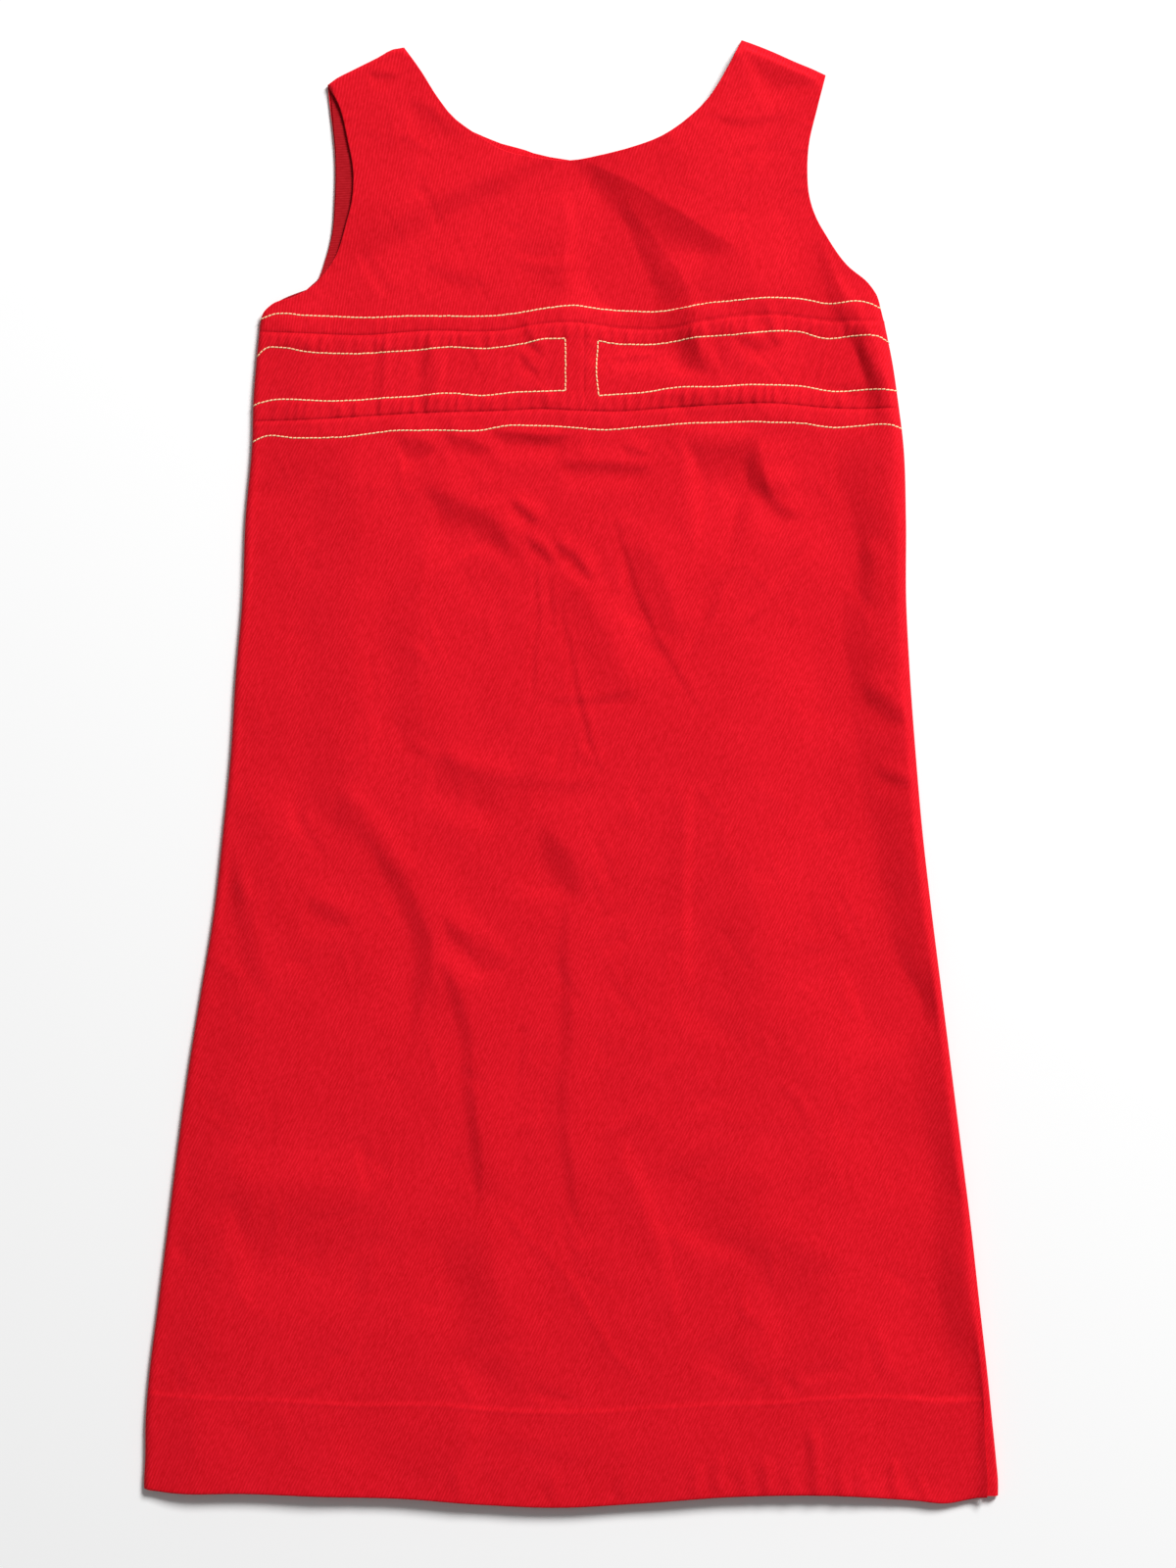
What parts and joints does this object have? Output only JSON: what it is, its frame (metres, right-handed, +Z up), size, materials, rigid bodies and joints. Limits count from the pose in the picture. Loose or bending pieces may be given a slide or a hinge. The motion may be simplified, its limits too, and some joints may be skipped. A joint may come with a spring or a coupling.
{
  "type": "mini dress",
  "caption": "Sleeveless A-line mini dress in red twill, laid flat front up, with a topstitched chest band, round neck and deep turned-up hem.",
  "frame": {"origin": "middle of the laid dress's outline, on the surface that it lies on", "axes": "+X across the dress, to the right as seen from above with the neck up; +Y along the dress towards the neck; +Z up from the surface, on the front's side"},
  "size_m": [0.5233, 0.8988, 0.0114],
  "materials": {
    "red_twill": "matt cotton twill with fine steep diagonal ribs",
    "red_facing": "matt cotton facing with fine crosswise ribs",
    "cream_thread": "twisted sewing thread with a soft sheen"
  },
  "bodies": {
    "root": {"front_yoke": "red_twill", "chest_band_left": "red_twill", "chest_band_right": "red_twill", "front_skirt": "red_twill", "back_left": "red_twill", "back_right": "red_twill", "back_facing_left": "red_facing", "back_facing_right": "red_facing"}
  },
  "joints": []
}
